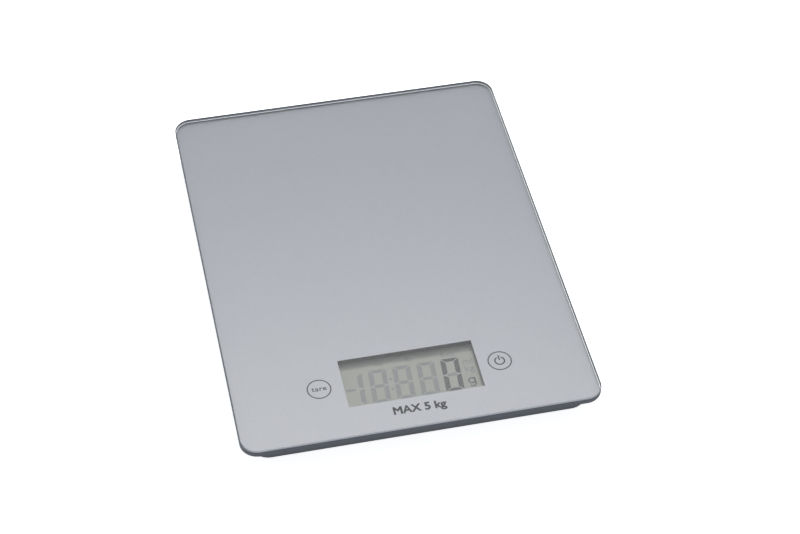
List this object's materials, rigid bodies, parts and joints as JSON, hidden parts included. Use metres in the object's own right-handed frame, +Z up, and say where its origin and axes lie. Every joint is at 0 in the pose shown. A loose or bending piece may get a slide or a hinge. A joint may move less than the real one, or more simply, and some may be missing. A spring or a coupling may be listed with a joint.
{
  "type": "kitchen scale",
  "caption": "Slim rectangular kitchen scale with a flat glass platform, a segment display under the glass, printed touch keys and four load-cell feet.",
  "frame": {"origin": "on the table surface under the middle of the platform", "axes": "+Z up, +Y away from the user along the platform's long side, +X to the user's right; the display is at -Y"},
  "size_m": [0.18, 0.239, 0.016],
  "materials": {
    "clear_glass": "polished toughened glass with ground edges",
    "silver_print": "satin silver ink printed on the glass's underside",
    "foam_tape": "black foam tape",
    "slate_plastic": "fine-textured slate grey moulding",
    "steel_screw": "zinc-plated",
    "label_film": "satin silver film",
    "dark_plastic": "fine-textured dark moulding",
    "lcd_film": "satin polarising film",
    "lcd_glass": "thin display glass",
    "lcd_reflector": "olive grey brushed reflector",
    "zebra_rubber": "layered connector rubber",
    "board_laminate": "green solder mask on glass laminate",
    "chip_epoxy": "black epoxy drop",
    "crystal_can": "drawn metal can",
    "chip_body": "fired ceramic chips",
    "spring_steel": "plated spring strip",
    "cell_can": "nickel-plated can",
    "contact_steel": "nickel-plated strip",
    "lead_insulation": "soft insulation",
    "button_rubber": "matt silicone",
    "carbon_pill": "conductive carbon",
    "load_cell_steel": "nickel-plated spring steel",
    "gauge_film": "foil gauge under white sealant",
    "white_plastic": "natural white moulding",
    "pad_rubber": "matt non-slip rubber"
  },
  "bodies": {
    "housing": {"glass_platform": "clear_glass", "back_print": "silver_print", "platform_tape": "foam_tape", "window_tape": "foam_tape", "upper_tray": "slate_plastic", "lower_cover": "slate_plastic", "cover_screws": "steel_screw", "rating_label": "label_film", "display_bezel": "dark_plastic", "lcd_front_polariser": "lcd_film", "lcd_upper_glass": "lcd_glass", "lcd_lower_glass": "lcd_glass", "lcd_reflector": "lcd_reflector", "zebra_strips": "zebra_rubber", "circuit_board": "board_laminate", "controller_chip": "chip_epoxy", "board_crystal": "crystal_can", "board_capacitors": "chip_body", "board_resistors": "chip_body", "board_screws": "steel_screw", "touch_spring_tare": "spring_steel", "touch_spring_power": "spring_steel", "coin_cell": "cell_can", "battery_contact_positive": "contact_steel", "battery_contact_negative": "contact_steel", "battery_leads": "lead_insulation", "unit_key_web": "button_rubber", "load_cell_front_left": "load_cell_steel", "strain_gauge_front_left": "gauge_film", "sensor_carrier_front_left": "white_plastic", "foot_front_left": "dark_plastic", "foot_pad_front_left": "pad_rubber", "sensor_leads_front_left": "lead_insulation", "load_cell_front_right": "load_cell_steel", "strain_gauge_front_right": "gauge_film", "sensor_carrier_front_right": "white_plastic", "foot_front_right": "dark_plastic", "foot_pad_front_right": "pad_rubber", "sensor_leads_front_right": "lead_insulation", "load_cell_rear_left": "load_cell_steel", "strain_gauge_rear_left": "gauge_film", "sensor_carrier_rear_left": "white_plastic", "foot_rear_left": "dark_plastic", "foot_pad_rear_left": "pad_rubber", "sensor_leads_rear_left": "lead_insulation", "load_cell_rear_right": "load_cell_steel", "strain_gauge_rear_right": "gauge_film", "sensor_carrier_rear_right": "white_plastic", "foot_rear_right": "dark_plastic", "foot_pad_rear_right": "pad_rubber", "sensor_leads_rear_right": "lead_insulation"},
    "battery_door": {"battery_door": "slate_plastic", "battery_door_latch": "slate_plastic"},
    "unit_button": {"unit_button": "button_rubber", "unit_contact_pill": "carbon_pill"}
  },
  "joints": [
    {"name": "battery_door_hinge", "type": "hinge", "parent": "housing", "child": "battery_door", "pos_m": [0, 0.0301, 0.004], "axis": [1, 0, 0], "range_deg": [0, 95], "deforming": ["battery_door_latch"]},
    {"name": "unit_button_press", "type": "slide", "parent": "housing", "child": "unit_button", "axis": [0, 0, 1], "range_m": [0, 0.00035], "stiffness_N_per_m": 2000, "deforming": ["unit_key_web"]}
  ]
}
